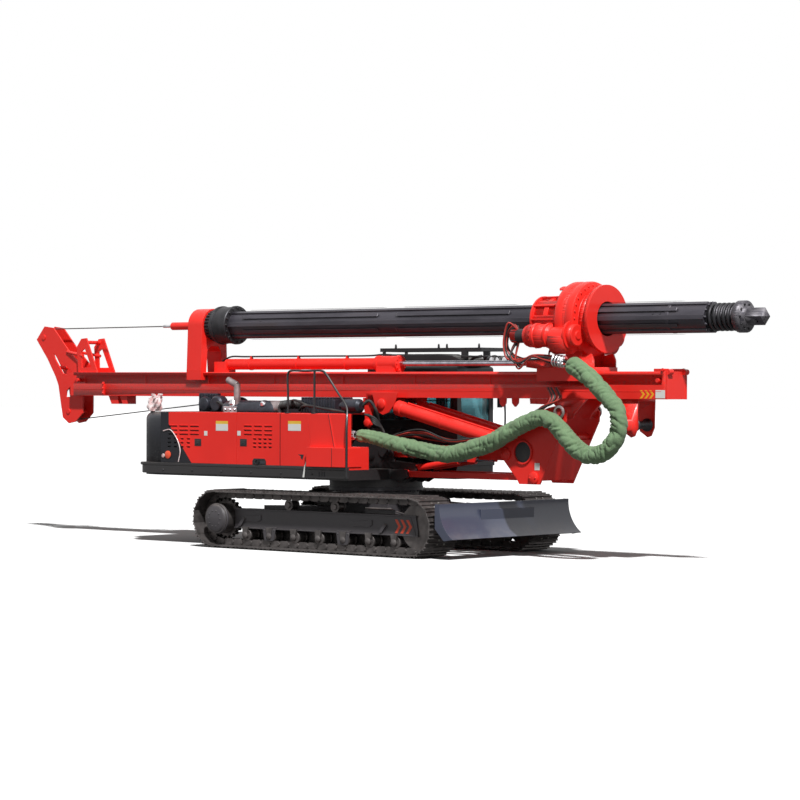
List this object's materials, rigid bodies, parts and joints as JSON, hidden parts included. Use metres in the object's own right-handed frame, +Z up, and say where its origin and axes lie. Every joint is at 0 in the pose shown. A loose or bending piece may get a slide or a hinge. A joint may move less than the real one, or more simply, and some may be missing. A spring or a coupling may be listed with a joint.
{
  "type": "rotary piling rig",
  "caption": "Tracked rotary drilling rig for bored piles, folded for transport, with its mast, rotary head and telescopic bar lying over the machine.",
  "frame": {"origin": "on the ground under the middle of the machine's bounding box", "axes": "+X forward along the mast towards its foot, +Y to the left, +Z up"},
  "size_m": [14.36, 3, 3.8598],
  "materials": {
    "hose_sleeve": "matte",
    "grey_paint": "satin",
    "track_steel": "matte",
    "chrome_rod": "polished",
    "weight_paint": "satin",
    "red_paint": "gloss",
    "dark_steel": "satin",
    "black_paint": "satin",
    "tinted_glass": "clear",
    "seat_cover": "matte",
    "kelly_steel": "matte"
  },
  "bodies": {
    "undercarriage": {"carbody": "grey_paint", "left_track": "track_steel", "right_track": "track_steel", "track_wheels": "track_steel", "rollers": "track_steel"},
    "blade": {"dozer_blade": "grey_paint"},
    "blade_barrels": {"blade_barrels": "grey_paint"},
    "blade_rods": {"blade_rods": "chrome_rod"},
    "upper": {"deck": "grey_paint", "counterweight": "weight_paint", "top_panels": "red_paint", "front_tank": "red_paint", "engine": "dark_steel", "exhaust": "dark_steel", "cab_shell": "black_paint", "cab_glass": "tinted_glass", "operator_seat": "seat_cover", "roof_guard": "black_paint", "handrails": "black_paint"},
    "winch_drum": {"winch_drum": "dark_steel"},
    "cab_door": {"cab_door": "black_paint", "door_glass": "tinted_glass"},
    "right_rear_door": {"right_rear_door": "red_paint"},
    "right_front_door": {"right_front_door": "red_paint"},
    "left_rear_door": {"left_rear_door": "red_paint"},
    "left_front_door": {"left_front_door": "red_paint"},
    "boom": {"boom": "red_paint", "sleeve_boom": "hose_sleeve"},
    "lower_link": {"lower_link": "red_paint"},
    "deltoid": {"deltoid": "red_paint", "sleeve_deltoid": "hose_sleeve"},
    "luffing_barrels": {"luffing_barrels": "red_paint"},
    "luffing_rods": {"luffing_rods": "chrome_rod"},
    "mast_barrels": {"mast_barrels": "red_paint"},
    "mast_rods": {"mast_rods": "chrome_rod"},
    "mast": {"mast": "red_paint", "mast_brackets": "red_paint", "mast_head": "red_paint", "mast_foot": "red_paint", "crowd_barrel": "red_paint", "sleeve_pivot": "hose_sleeve"},
    "upper_sheave": {"upper_sheave": "dark_steel"},
    "lower_sheave": {"lower_sheave": "dark_steel"},
    "foot_drum": {"foot_drum": "dark_steel"},
    "rotary_head": {"sled": "red_paint", "gearbox": "red_paint", "head_motors": "red_paint", "crowd_rod": "chrome_rod", "sleeve_loop": "hose_sleeve"},
    "output": {"output_disc": "red_paint"},
    "guide": {"kelly_guide": "red_paint"},
    "kelly": {"kelly_bar": "kelly_steel", "kelly_stub": "kelly_steel"}
  },
  "joints": [
    {"name": "slew", "type": "hinge", "parent": "undercarriage", "child": "upper", "pos_m": [0.25, 0, 1], "axis": [0, 0, 1], "continuous": true},
    {"name": "blade_lift", "type": "hinge", "parent": "undercarriage", "child": "blade", "pos_m": [1.3, 0, 0.45], "axis": [0, -1, 0], "range_deg": [-14, 8]},
    {"name": "blade_barrel_swing", "type": "hinge", "parent": "undercarriage", "child": "blade_barrels", "pos_m": [1.05, 0, 0.705], "axis": [0, -1, 0], "range_deg": [-12.55, 7.6]},
    {"name": "blade_rod_travel", "type": "slide", "parent": "blade_barrels", "child": "blade_rods", "axis": [0.999, 0, -0.0436], "range_m": [-0.0391, 0.0646]},
    {"name": "boom_luff", "type": "hinge", "parent": "upper", "child": "boom", "pos_m": [0.6, 0, 1.46], "axis": [0, -1, 0], "range_deg": [0, 55], "deforming": ["sleeve_boom"]},
    {"name": "lower_link_swing", "type": "hinge", "parent": "upper", "child": "lower_link", "pos_m": [1.1, 0, 1.136], "axis": [0, -1, 0], "range_deg": [0, 55.5]},
    {"name": "deltoid_swing", "type": "hinge", "parent": "boom", "child": "deltoid", "pos_m": [3.05, 0, 1.46], "axis": [0, -1, 0], "range_deg": [-55.5, 0], "deforming": ["sleeve_deltoid"]},
    {"name": "luffing_barrel_swing", "type": "hinge", "parent": "upper", "child": "luffing_barrels", "pos_m": [1.18, 0, 1.215], "axis": [0, -1, 0], "range_deg": [0, 66.39]},
    {"name": "luffing_rod_travel", "type": "slide", "parent": "luffing_barrels", "child": "luffing_rods", "axis": [0.9887, 0, 0.1501], "range_m": [0, 0.5308]},
    {"name": "mast_tilt", "type": "hinge", "parent": "deltoid", "child": "mast", "pos_m": [4.02, 0, 2.06], "axis": [0, 1, 0], "range_deg": [0, 90], "deforming": ["sleeve_pivot"]},
    {"name": "mast_barrel_swing", "type": "hinge", "parent": "deltoid", "child": "mast_barrels", "pos_m": [3.33, 0, 1.52], "axis": [0, 1, 0], "range_deg": [0, 89.01]},
    {"name": "mast_rod_travel", "type": "slide", "parent": "mast_barrels", "child": "mast_rods", "axis": [-0.9731, 0, 0.2305], "range_m": [0, 1.2388]},
    {"name": "crowd", "type": "slide", "parent": "mast", "child": "rotary_head", "axis": [1, 0, 0], "range_m": [-2.4, 0.1], "deforming": ["sleeve_loop"]},
    {"name": "kelly_travel", "type": "slide", "parent": "mast", "child": "guide", "axis": [1, 0, 0], "range_m": [-2, 2.9]},
    {"name": "kelly_spin", "type": "hinge", "parent": "guide", "child": "kelly", "pos_m": [0.25, 0, 3.352], "axis": [1, 0, 0], "continuous": true},
    {"name": "output_spin", "type": "hinge", "parent": "rotary_head", "child": "output", "pos_m": [4.25, 0, 3.352], "axis": [1, 0, 0], "continuous": true},
    {"name": "upper_sheave_spin", "type": "hinge", "parent": "mast", "child": "upper_sheave", "pos_m": [-7, 0, 3.2], "axis": [0, 1, 0], "continuous": true},
    {"name": "lower_sheave_spin", "type": "hinge", "parent": "mast", "child": "lower_sheave", "pos_m": [-6.39, 0, 1.985], "axis": [0, 1, 0], "continuous": true},
    {"name": "foot_winch_spin", "type": "hinge", "parent": "mast", "child": "foot_drum", "pos_m": [5.11, 0, 1.89], "axis": [0, 1, 0], "continuous": true},
    {"name": "main_winch_spin", "type": "hinge", "parent": "upper", "child": "winch_drum", "pos_m": [-2.87, 0, 2], "axis": [0, 1, 0], "continuous": true},
    {"name": "cab_door_hinge", "type": "hinge", "parent": "upper", "child": "cab_door", "pos_m": [0.496, 1.27, 1.9], "axis": [0, 0, 1], "range_deg": [0, 110]},
    {"name": "right_rear_door_hinge", "type": "hinge", "parent": "upper", "child": "right_rear_door", "pos_m": [-1.4, -1.27, 1.6], "axis": [0, 0, 1], "range_deg": [0, 85]},
    {"name": "right_front_door_hinge", "type": "hinge", "parent": "upper", "child": "right_front_door", "pos_m": [-0.513, -1.27, 1.6], "axis": [0, 0, 1], "range_deg": [0, 85]},
    {"name": "left_rear_door_hinge", "type": "hinge", "parent": "upper", "child": "left_rear_door", "pos_m": [-1.4, 1.27, 1.6], "axis": [0, 0, -1], "range_deg": [0, 85]},
    {"name": "left_front_door_hinge", "type": "hinge", "parent": "upper", "child": "left_front_door", "pos_m": [-0.513, 1.27, 1.6], "axis": [0, 0, -1], "range_deg": [0, 85]}
  ],
  "couplings": [
    {"joint": "blade_barrel_swing", "follows": "blade_lift", "ratio": 0.82509},
    {"joint": "blade_rod_travel", "follows": "blade_lift", "m_per_rad": -0.24388},
    {"joint": "lower_link_swing", "follows": "boom_luff", "ratio": 1},
    {"joint": "deltoid_swing", "follows": "boom_luff", "ratio": -1},
    {"joint": "luffing_barrel_swing", "follows": "boom_luff", "ratio": 1.189},
    {"joint": "luffing_rod_travel", "follows": "boom_luff", "m_per_rad": 0.54772},
    {"joint": "mast_barrel_swing", "follows": "mast_tilt", "ratio": 0.97793},
    {"joint": "mast_rod_travel", "follows": "mast_tilt", "m_per_rad": 0.78549},
    {"joint": "output_spin", "follows": "kelly_spin", "ratio": 1}
  ]
}
